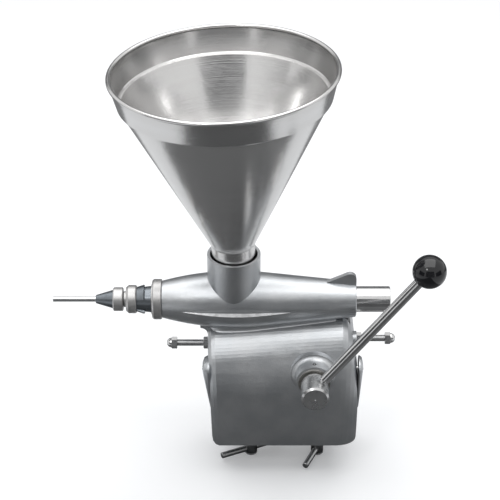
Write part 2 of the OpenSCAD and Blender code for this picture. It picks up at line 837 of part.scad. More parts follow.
module hub_pin() {
    pin_half = sqrt(hub_r * hub_r - hub_pin_r * hub_pin_r);
    color(zinc) translate([shaft_x, hub_pin_y(), shaft_z - pin_half])
        cylinder(r = hub_pin_r, h = 2 * pin_half);
}

// The rod, with a screwed stub and a chamfered shoulder at the hub
module lever_rod() {
    color(chrome) lever_frame(rod_y) rotate_extrude()
        polygon([[0, shaft_r - 1.8], [4.5, shaft_r - 1.8], [4.5, hub_r + 0.4], [rod_r, hub_r + 2.6],
                 [rod_r, knob_step], [knob_stud_r, knob_step],
                 [knob_stud_r, knob_seat], [0, knob_seat]]);
}

// The ball knob, flat where it meets the rod
module ball_knob() {
    color(black) lever_frame(rod_y) difference() {
        translate([0, 0, lever_len]) sphere(r = knob_r);
        translate([0, 0, lever_len - knob_r - 1])
            cylinder(r = rod_r + set_fit, h = knob_step + set_fit - (lever_len - knob_r - 1));
        translate([0, 0, lever_len - knob_r])
            cylinder(r = knob_stud_r + set_fit, h = knob_seat + face_gap - (lever_len - knob_r));
    }
}

// ---------------------------------------------------------------- piston

// The spaces between the rack's teeth, widening towards the sector
module rack_spaces() {
    for (k = [-2 : travel_teeth + 1]) {
        translate([shaft_x + k * rack_pitch, 0, -rack_drop])
            plate_y(-tooth_w / 2 - 0.4, tooth_w / 2 + 0.4)
                polygon([for (p = [[-1, -4], [1, -4], [1, rack_drop - rack_root], [-1, rack_drop - rack_root]])
                    [p[0] * (rack_pitch / 4 - p[1] * tan(pressure_angle)), p[1]]]);
    }
}

seal_places = [4, 11];

module piston() {
    rack_left = shaft_x - 2.6 * rack_pitch;
    rack_right = shaft_x + (travel_teeth + 1.6) * rack_pitch;
    color(chrome) difference() {
        turned([[0, piston_front_x], [piston_r - 1, piston_front_x],
                [piston_r, piston_front_x + 1], [piston_r, piston_end_x - 0.8],
                [piston_r - 0.8, piston_end_x], [0, piston_end_x]]);
        for (x = seal_places) {
            turned([[piston_r - seal_depth, piston_front_x + x],
                    [piston_r + 1, piston_front_x + x],
                    [piston_r + 1, piston_front_x + x + seal_w],
                    [piston_r - seal_depth, piston_front_x + x + seal_w]]);
        }
        rack_spaces();
        translate([rack_left, -tooth_w / 2 - 0.4, -piston_r - 1])
            cube([rack_right - rack_left, tooth_w + 0.8, piston_r + 1 - rack_flat]);
    }
}

module piston_seals() {
    color(rubber) for (x = seal_places) {
        turned([[piston_r - seal_depth + set_fit, piston_front_x + x + 0.1],
                [piston_r, piston_front_x + x + 0.1],
                [piston_r, piston_front_x + x + seal_w - 0.1],
                [piston_r - seal_depth + set_fit, piston_front_x + x + seal_w - 0.1]]);
    }
}

// ---------------------------------------------------------------- stop screws

// A threaded stop with a domed tip, from outer_x inwards to tip_x
module stop_screw(tip_x, outer_x, z) {
    dir = tip_x > outer_x ? 1 : -1;
    color(zinc) translate([0, stop_y, z]) {
        rod_x(stop_r, outer_x, tip_x - dir * stop_r);
        translate([tip_x - dir * stop_r, 0, 0]) sphere(r = stop_r);
    }
}

cap_bore_depth = 9;
cap_dome_r = 6.2;

module stop_screw_left() {
    stop_screw(stop_tip_left, stop_left_x + cap_dome_r + cap_hex_t - cap_bore_depth, stop_z[0]);
}

module stop_screw_right() {
    stop_screw(stop_tip_right, stop_right_x - cap_dome_r - cap_hex_t + cap_bore_depth, stop_z[1]);
}

// A cap nut whose dome ends at x; turn is 0 when its open end faces +X and 180 when it faces -X
module cap_nut(x, turn, z) {
    color(chrome) translate([x, stop_y, z]) rotate([0, 0, turn]) difference() {
        union() {
            hex_x(cap_dome_r, cap_hex_t, stop_r / 2);
            turned(concat([for (a = [0 : 15 : 90])
                    [cap_dome_r * sin(a), cap_dome_r * (1 - cos(a))]],
                [[cap_dome_r, cap_dome_r + 2], [0, cap_dome_r + 2]]));
        }
        rod_x(stop_r + set_fit, cap_dome_r + cap_hex_t - cap_bore_depth,
              cap_dome_r + cap_hex_t + 1);
    }
}

module cap_nut_left() {
    cap_nut(stop_left_x, 0, stop_z[0]);
}

module cap_nut_right() {
    cap_nut(stop_right_x, 180, stop_z[1]);
}

module lock_nuts() {
    color(chrome) {
        translate([0, stop_y, stop_z[0]])
            hex_x(stop_seat_left_x - lock_nut_t, lock_nut_t, stop_r + run_fit);
        translate([0, stop_y, stop_z[1]]) hex_x(stop_pad_x, lock_nut_t, stop_r + run_fit);
    }
}

// ---------------------------------------------------------------- table clamp

pad_z = seat_bottom_z + face_gap;
neck_stub_r = 6;
neck_stub_len = 5;

module at_clamp(side) {
    translate([clamp_x + side * clamp_spacing / 2, clamp_y, 0]) children();
}

module clamp_screw(side) {
    bar_z = clamp_end_z + bar_up;
    color(zinc) at_clamp(side) difference() {
        rotate_extrude() polygon([
            [0, clamp_end_z], [clamp_screw_r - 1.2, clamp_end_z],
            [clamp_screw_r, clamp_end_z + 1.2], [clamp_screw_r, pad_z - face_gap],
            [neck_stub_r, pad_z - face_gap], [neck_stub_r, pad_z + neck_stub_len],
            [0, pad_z + neck_stub_len]]);
        translate([0, 0, bar_z]) rotate([0, 0, bar_angles[side < 0 ? 0 : 1]])
            rod_x(bar_r + set_fit, -20, 20);
    }
}

module tommy_bar(side) {
    color(zinc) at_clamp(side) translate([0, 0, clamp_end_z + bar_up])
        rotate([0, 0, bar_angles[side < 0 ? 0 : 1]])
            turned([[0, -bar_len / 2], [bar_r - 0.6, -bar_len / 2], [bar_r, -bar_len / 2 + 0.6],
                    [bar_r, bar_len / 2 - 0.6], [bar_r - 0.6, bar_len / 2], [0, bar_len / 2]]);
}

module clamp_pad(side) {
    color(zinc) at_clamp(side) difference() {
        rotate_extrude() polygon([
            [0, pad_z], [pad_r - 2.5, pad_z], [pad_r, pad_z + 3], [pad_r, pad_z + pad_t - 0.8],
            [pad_r - 0.8, pad_z + pad_t], [0, pad_z + pad_t]]);
        translate([0, 0, pad_z - 1])
            cylinder(r = neck_stub_r + run_fit, h = neck_stub_len + 1 + face_gap);
    }
}

module clamp_screw_left() {
    clamp_screw(-1);
}

module clamp_screw_right() {
    clamp_screw(1);
}

module tommy_bar_left() {
    tommy_bar(-1);
}

module tommy_bar_right() {
    tommy_bar(1);
}

module clamp_pad_left() {
    clamp_pad(-1);
}

module clamp_pad_right() {
    clamp_pad(1);
}

// ---------------------------------------------------------------- nozzle

// The ring that screws on the spigot and holds the valve body's flange
module union_ring() {
    color(steel) turned([
        [thread_r, ring_back_x], [ring_r - 0.8, ring_back_x], [ring_r, ring_back_x - 0.8],
        [ring_r, ring_front_x + 2], [ring_r - 1.6, ring_front_x],
        [ring_hole_r + 1.8, ring_front_x], [ring_hole_r + 1.8, ring_front_x - 1.1],
        [ring_hole_r, ring_front_x - 1.1], [ring_hole_r, lip_x], [thread_r, lip_x]]);
}

module flange_gasket() {
    color(rubber) turned([[bore_r, flange_back_x], [spigot_r - 0.2, flange_back_x],
        [spigot_r - 0.2, spigot_end_x], [bore_r, spigot_end_x]]);
}

// A bayonet claw on the valve body: a ramp that rises towards the barrel
module claw(up) {
    claw_end_x = valve_nose_x + 10;
    claw_start_x = valve_nose_x + 0.4;
    intersection() {
        turned([[valve_nose_r - 2, claw_start_x], [valve_nose_r + 1.2, claw_start_x],
                [valve_root_r + 1.9, claw_end_x - 1], [valve_root_r + 1.2, claw_end_x],
                [valve_nose_r - 2, claw_end_x]]);
        translate([0, 0, up * 20]) rotate([-up * 33, 0, 0]) cube([300, 15, 36], center = true);
    }
}

module valve_body() {
    color(steel) difference() {
        union() {
            turned([[0, flange_back_x], [spigot_r - 0.2, flange_back_x], [spigot_r - 0.2, lip_x],
                    [valve_root_r, lip_x], [valve_root_r, ring_front_x - 2],
                    [valve_nose_r, valve_nose_x], [nose_spigot_r, valve_nose_x],
                    [nose_spigot_r, valve_nose_x - nose_spigot_len],
                    [0, valve_nose_x - nose_spigot_len]]);
            claw(1);
            claw(-1);
        }
        // Inlet cone, seat hole, chamber and the bore that guides the spring
        turned([[0, flange_back_x + 1], [bore_r - 2, flange_back_x + 1], [seat_r, seat_x + 2],
                [seat_r, seat_x], [chamber_r, seat_x - 3], [chamber_r, valve_nose_x],
                [7, valve_nose_x - 2], [7, valve_nose_x - nose_spigot_len - 1],
                [0, valve_nose_x - nose_spigot_len - 1]]);
    }
}

module valve_ball() {
    color(chrome) translate([ball_x - 0.05, 0, 0]) sphere(r = ball_r);
}

// Points of the spring's wire: a helix about the barrel's axis
function spring_point(i) =
    let (n = spring_turns * spring_steps, a = 360 * i / spring_steps,
         x = spring_start_x + (spring_end_x - spring_start_x) * i / n)
    [x, spring_r * cos(a), spring_r * sin(a)];
function spring_ring(i) =
    let (a = 360 * i / spring_steps,
         out = [0, cos(a), sin(a)],
         along = [1, 0, 0])
    [for (j = [0 : spring_sides - 1]) let (b = 360 * j / spring_sides)
        spring_point(i) + wire_r * (cos(b) * out + sin(b) * along)];

module valve_spring() {
    n = spring_turns * spring_steps;
    s = spring_sides;
    color(steel) polyhedron(
        points = [for (i = [0 : n]) each spring_ring(i)],
        faces = concat(
            [[for (j = [0 : s - 1]) j]],
            [for (i = [0 : n - 1]) for (j = [0 : s - 1]) let (k = (j + 1) % s)
                each [[i * s + j, (i + 1) * s + j, (i + 1) * s + k],
                      [i * s + j, (i + 1) * s + k, i * s + k]]],
            [[for (j = [s - 1 : -1 : 0]) n * s + j]]));
}

// The ring that locks the needle's adapter on the valve body
module bayonet_ring() {
    color(steel) turned([
        [nose_spigot_r + set_fit, valve_nose_x], [bayonet_r - 1.2, valve_nose_x],
        [bayonet_r, valve_nose_x - 1.4], [bayonet_r, bayonet_front_x + 3],
        [bayonet_r - 2.6, bayonet_front_x], [neck_r + set_fit, bayonet_front_x],
        [neck_r + set_fit, bayonet_front_x + 2], [nose_spigot_r + set_fit, bayonet_front_x + 2]]);
}

module nozzle_adapter() {
    flange_x = valve_nose_x - nose_spigot_len;
    color(steel) turned([
        [adapter_bore_r, flange_x], [nose_spigot_r - 0.1, flange_x],
        [nose_spigot_r - 0.1, bayonet_front_x + 2], [neck_r, bayonet_front_x + 2],
        [neck_r, neck_front_x + 1.2], [adapter_thread_r, neck_front_x + 0.2],
        [adapter_thread_r, adapter_end_x], [adapter_bore_r, adapter_end_x]]);
}

// The knurled nut that holds the nozzle's cone
module nozzle_nut() {
    lip = nut_front_x + 2;
    color(steel) turned([
        [adapter_thread_r + set_fit, neck_front_x], [nut_r - 1, neck_front_x],
        [nut_r, neck_front_x - 1], [nut_r, nut_front_x + 1.2], [nut_r - 1.2, nut_front_x],
        [cone_root_r + set_fit, nut_front_x], [cone_root_r + set_fit, lip],
        [cone_flange_r + set_fit, lip], [cone_flange_r + set_fit, lip + cone_flange_t],
        [adapter_thread_r + set_fit, lip + cone_flange_t]]);
}

module nozzle_cone() {
    lip = nut_front_x + 2;
    color(steel) turned([
        [adapter_bore_r, adapter_end_x], [adapter_thread_r - 0.2, adapter_end_x],
        [adapter_thread_r - 0.2, lip + cone_flange_t], [cone_flange_r, lip + cone_flange_t],
        [cone_flange_r, lip], [cone_root_r, lip], [cone_root_r, nut_front_x],
        [cone_tip_r, cone_front_x + 0.6], [cone_tip_r - 0.6, cone_front_x],
        [tube_root_r + set_fit, cone_front_x],
        [tube_root_r + set_fit, cone_front_x + tube_root_len],
        [tube_bore_r, cone_front_x + tube_root_len]]);
}

module nozzle_tube() {
    tip_x = cone_front_x - tube_len;
    color(steel) turned([
        [tube_bore_r, cone_front_x + tube_root_len], [tube_root_r, cone_front_x + tube_root_len],
        [tube_root_r, cone_front_x], [tube_r, cone_front_x],
        [tube_r, tip_x + 0.4], [tube_r - 0.4, tip_x], [tube_bore_r, tip_x]]);
}

// ---------------------------------------------------------------- hopper

module hopper_frame() {
    translate([0, 0, hopper_pivot_h]) rotate([0, -hopper_lean, 0])
        translate([0, 0, -hopper_pivot_h]) children();
}

// Outside of the cone and band as [radius, height], from the weld upwards
hopper_outline = [
    [hopper_neck_r, hopper_weld_h], [hopper_cone_r, hopper_cone_h],
    [hopper_cone_r + hopper_step, hopper_cone_h + 0.4 * hopper_step],
    [hopper_cone_r + 1.4 * hopper_step, hopper_band_h],
    [hopper_band_r, hopper_top_h]];

module hopper_shell() {
    n = len(hopper_outline);
    color(steel) hopper_frame() rotate_extrude() polygon(concat(hopper_outline,
        [for (i = [n - 1 : -1 : 0]) hopper_outline[i] - [sheet_t * (i > 0 && i < 3 ? 1.35 : 1.12), 0]]));
}

module hopper_rim() {
    color(steel) hopper_frame() translate([0, 0, hopper_top_h + rim_r])
        rotate_extrude() translate([hopper_band_r, 0]) circle(r = rim_r, $fn = 32);
}

module hopper_neck() {
    color(steel) hopper_frame() rotate_extrude() polygon([
        [hopper_neck_r - sheet_t, hopper_neck_end], [hopper_neck_r, hopper_neck_end],
        [hopper_neck_r, hopper_weld_h], [hopper_neck_r - sheet_t, hopper_weld_h]]);
}

// ---------------------------------------------------------------- the part

// Moves the barrel's zero so that the origin lies on the clamp's seat face
module on_table() {
    translate([-clamp_x, -clamp_y, -seat_z]) children();
}

on_table() body_casting();
on_table() barrel_casting();
on_table() rear_cover();
on_table() cover_gasket();
on_table() cover_screws();
on_table() side_plugs();
on_table() front_bush();
on_table() rear_bush();
on_table() lever_shaft();
on_table() sector_gear();
on_table() drive_key();
on_table() thrust_washer();
on_table() lever_hub();
on_table() hub_pin();
on_table() lever_rod();
on_table() ball_knob();
on_table() piston();
on_table() piston_seals();
on_table() stop_screw_left();
on_table() stop_screw_right();
on_table() cap_nut_left();
on_table() cap_nut_right();
on_table() lock_nuts();
on_table() clamp_screw_left();
on_table() clamp_screw_right();
on_table() tommy_bar_left();
on_table() tommy_bar_right();
on_table() clamp_pad_left();
on_table() clamp_pad_right();
on_table() union_ring();
on_table() flange_gasket();
on_table() valve_body();
on_table() valve_ball();
on_table() valve_spring();
on_table() bayonet_ring();
on_table() nozzle_adapter();
on_table() nozzle_nut();
on_table() nozzle_cone();
on_table() nozzle_tube();
on_table() hopper_shell();
on_table() hopper_rim();
on_table() hopper_neck();
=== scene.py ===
"""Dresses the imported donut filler: finishes, fine pieces, studio light and camera.

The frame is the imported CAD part, in metres. Z is up, the needle points to -X and the
operator stands at -Y. The zero point lies on the clamp's seat face. Sizes of the part
are in millimetres about the barrel's zero, and sizes of the studio are in metres.
"""

from __future__ import annotations

import logging
import math
from dataclasses import dataclass, field
from enum import Enum
from typing import Sequence

import bmesh
import bpy
from mathutils import Matrix, Vector

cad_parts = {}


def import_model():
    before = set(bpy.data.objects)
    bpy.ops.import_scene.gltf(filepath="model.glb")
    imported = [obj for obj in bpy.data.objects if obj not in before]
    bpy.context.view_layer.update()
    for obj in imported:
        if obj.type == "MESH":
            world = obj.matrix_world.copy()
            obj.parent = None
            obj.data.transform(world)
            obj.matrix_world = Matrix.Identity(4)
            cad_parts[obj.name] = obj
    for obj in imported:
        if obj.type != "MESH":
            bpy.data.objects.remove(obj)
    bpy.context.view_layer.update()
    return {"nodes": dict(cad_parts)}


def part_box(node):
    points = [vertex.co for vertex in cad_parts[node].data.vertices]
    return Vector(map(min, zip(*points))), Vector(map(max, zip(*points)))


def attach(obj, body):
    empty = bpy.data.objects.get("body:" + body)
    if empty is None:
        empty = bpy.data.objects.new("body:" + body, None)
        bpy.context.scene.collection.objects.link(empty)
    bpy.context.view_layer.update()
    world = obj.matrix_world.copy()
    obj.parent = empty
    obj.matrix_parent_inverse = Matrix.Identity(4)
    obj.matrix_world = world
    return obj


LOG = logging.getLogger("donut_filler")
MM = 0.001
# The barrel's zero, where its axis meets the collar's, in the frame's millimetres
BARREL_ZERO = Vector((-64.0, 8.0, 115.0))
UP = Vector((0, 0, 1))
IMAGE_PX = 500
SENSOR_MM = 36.0
# The value that a noise field swings about
NOISE_MIDDLE = 0.5
# The stretch of a noise field over which most finishes pass from dark to light
BLEND_REACH = (0.3, 0.7)
# The steepest slope of a smooth rise over the square of the height
CROWN_STEEPEST = 2.23

Point = tuple[float, float]
# A share of a finish's level, and a warmth
Tone = tuple[float, float]
Colour = tuple[float, float, float, float]


def place(x: float, y: float, z: float) -> Vector:
    """Turn a point about the barrel's zero, in millimetres, into frame metres."""
    return (Vector((x, y, z)) + BARREL_ZERO) * MM


def grey(level: float, warmth: float = 0.0) -> Colour:
    """Return a grey colour, slightly warm or cool.

    Args:
        level: its brightness.
        warmth: how much redder than bluer it is.

    Returns:
        The colour with full alpha.
    """
    return (level * (1.0 + warmth), level, level * (1.0 - warmth), 1.0)


def toned(level: float, tone: Tone) -> Colour:
    """Return the grey that a tone makes of a finish's level."""
    share, warmth = tone
    return grey(level * share, warmth)


# ------------------------------------------------------------------ shader arithmetic


class Signal:
    """A socket that carries a number, usable in ordinary arithmetic."""

    def __init__(self, graph: Graph, socket: bpy.types.NodeSocket) -> None:
        """Keep the graph and the socket.

        Args:
            graph: the graph that new Math nodes go into.
            socket: the output socket that carries the value.
        """
        self.graph = graph
        self.socket = socket

    def _math(self, operation: str, first: Value, second: Value) -> Signal:
        """Add one Math node.

        Args:
            operation: the node's operation.
            first: its first value or link.
            second: its second value or link.

        Returns:
            The node's result.
        """
        return self.graph.add("ShaderNodeMath", {"operation": operation}, {0: first, 1: second})

    def __add__(self, other: Value) -> Signal:
        """Return self + other."""
        return self._math("ADD", self, other)

    def __radd__(self, other: Value) -> Signal:
        """Return other + self."""
        return self._math("ADD", other, self)

    def __sub__(self, other: Value) -> Signal:
        """Return self - other."""
        return self._math("SUBTRACT", self, other)

    def __rsub__(self, other: Value) -> Signal:
        """Return other - self."""
        return self._math("SUBTRACT", other, self)

    def __mul__(self, other: Value) -> Signal:
        """Return self * other."""
        return self._math("MULTIPLY", self, other)

    def __rmul__(self, other: Value) -> Signal:
        """Return other * self."""
        return self._math("MULTIPLY", other, self)

    def __truediv__(self, other: Value) -> Signal:
        """Return self / other."""
        return self._math("DIVIDE", self, other)

    def __pow__(self, other: Value) -> Signal:
        """Return self to the power of other."""
        return self._math("POWER", self, other)

    def at_most(self, other: Value) -> Signal:
        """Return the smaller of the two."""
        return self._math("MINIMUM", self, other)

    def at_least(self, other: Value) -> Signal:
        """Return the larger of the two."""
        return self._math("MAXIMUM", self, other)

    def swing(self, reach: float) -> Signal:
        """Return a noise field's swing about zero, scaled to a reach."""
        return (self - NOISE_MIDDLE) * reach

    def ramp(self, low: float, high: float) -> Signal:
        """Return a smooth rise from 0 at the low value to 1 at the high one.

        Args:
            low: the value that gives 0.
            high: the value that gives 1.

        Returns:
            The smooth rise.
        """
        settings = {"interpolation_type": "SMOOTHSTEP"}
        return self.graph.add("ShaderNodeMapRange", settings, {0: self, 1: low, 2: high})


Value = Signal | float | int | tuple


class Graph:
    """The node tree of one material or of the world."""

    def __init__(self, owner: bpy.types.Material | bpy.types.World) -> None:
        """Empty the owner's node tree.

        Args:
            owner: the new material or world.
        """
        owner.use_nodes = True
        self.owner = owner
        self.tree = owner.node_tree
        self.tree.nodes.clear()

    def add(
        self,
        kind: str,
        settings: dict[str, object] | None = None,
        inputs: dict[int | str, Value] | None = None,
        output: int | str | None = 0,
    ) -> Signal | None:
        """Add a node, set it up and link its inputs.

        Args:
            kind: the node's type.
            settings: attributes that are set before the inputs.
            inputs: values or links by socket name or number.
            output: the output socket that is handed back, or None.

        Returns:
            The chosen output, if one was asked for.
        """
        node = self.tree.nodes.new(kind)
        for key, value in (settings or {}).items():
            setattr(node, key, value)
        for key, value in (inputs or {}).items():
            if isinstance(value, Signal):
                self.tree.links.new(value.socket, node.inputs[key])
            else:
                node.inputs[key].default_value = value
        return None if output is None else Signal(self, node.outputs[output])

    def position(self) -> Signal:
        """Return the Object coordinates, in metres."""
        return self.add("ShaderNodeTexCoord", output="Object")

    def along(self, direction: Vector, origin: Vector) -> Signal:
        """Return the distance in millimetres from an origin along a direction.

        Args:
            direction: the unit direction.
            origin: the point that counts as 0, in metres.

        Returns:
            The distance as a number.
        """
        reach = self.add(
            "ShaderNodeVectorMath",
            {"operation": "DOT_PRODUCT"},
            {0: self.position(), 1: tuple(direction)},
            "Value",
        )
        return (reach - origin.dot(direction)) * (1 / MM)

    def noise(
        self,
        size_mm: float,
        detail: float = 2.0,
        stretch: tuple[float, float, float] = (1.0, 1.0, 1.0),
        roughness: float = 0.5,
    ) -> Signal:
        """Return a noise field.

        Args:
            size_mm: the width of one blotch.
            detail: the number of finer layers.
            stretch: how much longer the blotches are along X, Y and Z.
            roughness: the weight of the finer layers.

        Returns:
            Values about the middle.
        """
        scale = tuple(1 / MM / size_mm / share for share in stretch)
        mapped = self.add(
            "ShaderNodeMapping", {"vector_type": "POINT"}, {0: self.position(), 3: scale}
        )
        return self.add(
            "ShaderNodeTexNoise",
            {"noise_dimensions": "3D"},
            {"Vector": mapped, "Scale": 1.0, "Detail": detail, "Roughness": roughness},
            "Fac",
        )

    def lines(
        self, height: Signal, pitch_mm: float, detail: float = 2.0, roughness: float = 0.5
    ) -> Signal:
        """Return uneven lines across a direction, as a lathe tool leaves them.

        Args:
            height: the distance along the direction, in millimetres.
            pitch_mm: the width of one line.
            detail: the number of finer layers.
            roughness: the weight of the finer layers.

        Returns:
            Values about the middle.
        """
        return self.add(
            "ShaderNodeTexNoise",
            {"noise_dimensions": "1D"},
            {"W": height / pitch_mm, "Scale": 1.0, "Detail": detail, "Roughness": roughness},
            "Fac",
        )

    def blend(self, factor: Value, first: Value, second: Value) -> Signal:
        """Mix two colours.

        Args:
            factor: 0 gives the first colour and 1 the second.
            first: the first colour.
            second: the second colour.

        Returns:
            The mixed colour.
        """
        return self.add(
            "ShaderNodeMix",
            {"data_type": "RGBA", "clamp_factor": True},
            {0: factor, 6: first, 7: second},
            2,
        )

    def relief(self, height: Value, depth_mm: float, under: Signal | None = None) -> Signal:
        """Turn a height field into a normal.

        Args:
            height: the field, from 0 to 1.
            depth_mm: the depth that 1 stands for.
            under: a normal to lay it over.

        Returns:
            The bent normal.
        """
        inputs: dict[int | str, Value] = {
            "Height": height,
            "Distance": depth_mm * MM,
            "Strength": 1.0,
        }
        if under is not None:
            inputs["Normal"] = under
        return self.add("ShaderNodeBump", inputs=inputs)

    def finish(self, surface: dict[int | str, Value]) -> bpy.types.Material:
        """Close the tree with one Principled shader.

        Args:
            surface: the shader's inputs.

        Returns:
            The material.
        """
        shader = self.add("ShaderNodeBsdfPrincipled", inputs=surface)
        self.add("ShaderNodeOutputMaterial", inputs={"Surface": shader}, output=None)
        return self.owner

    def metal(self, colour: Value, roughness: Value, normal: Signal) -> bpy.types.Material:
        """Close the tree as bare metal.

        Args:
            colour: its colour.
            roughness: its roughness.
            normal: its bent normal.

        Returns:
            The material.
        """
        return self.finish(
            {"Base Color": colour, "Metallic": 1.0, "Roughness": roughness, "Normal": normal}
        )


# ------------------------------------------------------------------ finishes


@dataclass(frozen=True)
class Finish:
    """What every finish has: its name and the graph that draws it."""

    name: str

    def graph(self) -> Graph:
        """Return the empty graph of a new material of this name."""
        return Graph(bpy.data.materials.new(self.name))


@dataclass(frozen=True)
class CastAluminium(Finish):
    """Fine-cast aluminium, tumbled to a satin that still shows its grain.

    A crown bends the shading of an upright wall back towards its top, as the real wall's
    fuller belly does. Its heights are measured from the barrel's zero.
    """

    level: float = 0.50
    roughness: float = 0.36
    dark: Tone = (0.93, -0.035)
    light: Tone = (1.08, -0.02)
    grain_mm: float = 1.1
    grain_depth_mm: float = 0.10
    grain_rough: float = 0.14
    wave_mm: float = 9.0
    wave_depth_mm: float = 0.22
    blotch_mm: float = 28.0
    blotch_reach: Point = (0.30, 0.72)
    blotch_share: float = 0.75
    blotch_rough: float = 0.12
    crown_deg: float = 0.0
    crown_low: float = -150.0
    crown_high: float = -38.0

    def crown(self, g: Graph, under: Signal) -> Signal:
        """Lay the crown over a normal.

        Args:
            g: the material's graph.
            under: the normal.

        Returns:
            The bent normal.
        """
        run = self.crown_high - self.crown_low
        height = g.along(UP, place(0, 0, self.crown_low)) / run
        drop = math.tan(math.radians(self.crown_deg)) * run / CROWN_STEEPEST
        share = (height.at_least(0.0) ** 2.0).ramp(0.0, 1.0)
        return g.relief(0.0 - share, drop, under)

    def build(self) -> bpy.types.Material:
        """Return the casting's material."""
        g = self.graph()
        grain = g.noise(self.grain_mm, detail=3.0, roughness=0.6)
        wave = g.noise(self.wave_mm)
        blotch = g.noise(self.blotch_mm, detail=3.0)
        tone = (
            blotch.ramp(*self.blotch_reach) * self.blotch_share
            + grain.ramp(*BLEND_REACH) * (1 - self.blotch_share)
        )
        colour = g.blend(
            tone.at_most(1.0), toned(self.level, self.dark), toned(self.level, self.light)
        )
        normal = g.relief(wave, self.wave_depth_mm, g.relief(grain, self.grain_depth_mm))
        if self.crown_deg:
            normal = self.crown(g, normal)
        rough = blotch.swing(self.blotch_rough) + grain.swing(self.grain_rough) + self.roughness
        return g.metal(colour, rough, normal)


@dataclass(frozen=True)
class SpunSteel(Finish):
    """Sheet steel spun over a former, with fine rings about its axis."""

    axis: Vector
    origin: Vector
    level: float = 0.62
    roughness: float = 0.20
    smoothest: float = 0.05
    dark: Tone = (0.92, 0.015)
    light: Tone = (1.07, 0.0)
    ring_mm: float = 1.3
    ring_depth_mm: float = 0.045
    ring_tone: float = 0.5
    ring_rough: float = 0.12
    broad_mm: float = 17.0
    broad_tone: float = 0.7
    cloud_mm: float = 34.0
    cloud_depth_mm: float = 0.35
    cloud_rough: float = 0.10

    def build(self) -> bpy.types.Material:
        """Return the spun sheet's material."""
        g = self.graph()
        height = g.along(self.axis, self.origin)
        rings = g.lines(height, self.ring_mm, detail=3.0, roughness=0.65)
        broad = g.lines(height, self.broad_mm)
        cloud = g.noise(self.cloud_mm, detail=3.0)
        tone = rings.swing(self.ring_tone) + broad.swing(self.broad_tone) + NOISE_MIDDLE
        colour = g.blend(tone, toned(self.level, self.dark), toned(self.level, self.light))
        rough = rings.swing(self.ring_rough) + cloud.swing(self.cloud_rough) + self.roughness
        normal = g.relief(rings, self.ring_depth_mm, g.relief(cloud, self.cloud_depth_mm))
        return g.metal(colour, rough.at_least(self.smoothest), normal)


@dataclass(frozen=True)
class TurnedSteel(Finish):
    """Steel off the lathe, with feed marks along one axis."""

    axis: Vector
    level: float
    roughness: float
    warmth: float = 0.0
    dark_share: float = 0.92
    dark_chill: float = 0.008
    light_share: float = 1.06
    feed_mm: float = 0.6
    feed_depth_mm: float = 0.010
    wear_mm: float = 12.0
    rough_swing: float = 0.16

    def build(self) -> bpy.types.Material:
        """Return the turned steel's material."""
        g = self.graph()
        feed = g.lines(g.along(self.axis, Vector()), self.feed_mm)
        wear = g.noise(self.wear_mm, detail=4.0, roughness=0.6)
        dark = toned(self.level, (self.dark_share, self.warmth - self.dark_chill))
        light = toned(self.level, (self.light_share, self.warmth))
        colour = g.blend(wear.ramp(*BLEND_REACH), dark, light)
        rough = feed.swing(self.rough_swing) + wear.swing(self.rough_swing) + self.roughness
        return g.metal(colour, rough, g.relief(feed, self.feed_depth_mm))


@dataclass(frozen=True)
class BrightPlate(Finish):
    """Bright nickel and chrome plate."""

    level: float = 0.62
    roughness: float = 0.12
    smoothest: float = 0.03
    dark: Tone = (0.95, 0.0)
    light: Tone = (1.04, 0.0)
    haze_mm: float = 16.0
    haze_depth_mm: float = 0.05
    haze_middle: float = 0.4
    haze_rough: float = 0.12
    scuff_mm: float = 2.2
    scuff_stretch: tuple[float, float, float] = (1.0, 1.0, 4.0)
    scuff_rough: float = 0.06

    def build(self) -> bpy.types.Material:
        """Return the plating's material."""
        g = self.graph()
        haze = g.noise(self.haze_mm, detail=4.0, roughness=0.6)
        scuff = g.noise(self.scuff_mm, detail=3.0, stretch=self.scuff_stretch)
        dark, light = toned(self.level, self.dark), toned(self.level, self.light)
        colour = g.blend(haze.ramp(*BLEND_REACH), dark, light)
        hazy = (haze - self.haze_middle) * self.haze_rough
        rough = (hazy + scuff.swing(self.scuff_rough) + self.roughness).at_least(self.smoothest)
        return g.metal(colour, rough, g.relief(haze, self.haze_depth_mm))


@dataclass(frozen=True)
class DullMetal(Finish):
    """Zinc-plated or machined metal with a soft sheen."""

    colour: Colour
    roughness: float = 0.36
    dark_share: float = 0.72
    stain_mm: float = 7.0
    stain_depth_mm: float = 0.03
    stain_reach: Point = (0.25, 0.75)
    stain_rough: float = 0.3

    def build(self) -> bpy.types.Material:
        """Return the dull metal's material."""
        g = self.graph()
        stain = g.noise(self.stain_mm, detail=4.0, roughness=0.65)
        dark = tuple(channel * self.dark_share for channel in self.colour[:3]) + (1.0,)
        colour = g.blend(stain.ramp(*self.stain_reach), dark, self.colour)
        rough = stain.swing(self.stain_rough) + self.roughness
        return g.metal(colour, rough, g.relief(stain, self.stain_depth_mm))


@dataclass(frozen=True)
class MouldedGloss(Finish):
    """Glossy thermoset plastic, black through and through."""

    deep: Colour = (0.004, 0.004, 0.005, 1.0)
    pale: Colour = (0.010, 0.010, 0.012, 1.0)
    roughness: float = 0.08
    smear_mm: float = 11.0
    smear_depth_mm: float = 0.03
    smear_reach: Point = (0.3, 0.8)
    smear_rough: float = 0.08

    def build(self) -> bpy.types.Material:
        """Return the knob's material."""
        g = self.graph()
        smear = g.noise(self.smear_mm, detail=4.0)
        return g.finish(
            {
                "Base Color": g.blend(smear, self.deep, self.pale),
                "Roughness": smear.ramp(*self.smear_reach) * self.smear_rough + self.roughness,
                "Normal": g.relief(smear, self.smear_depth_mm),
            }
        )


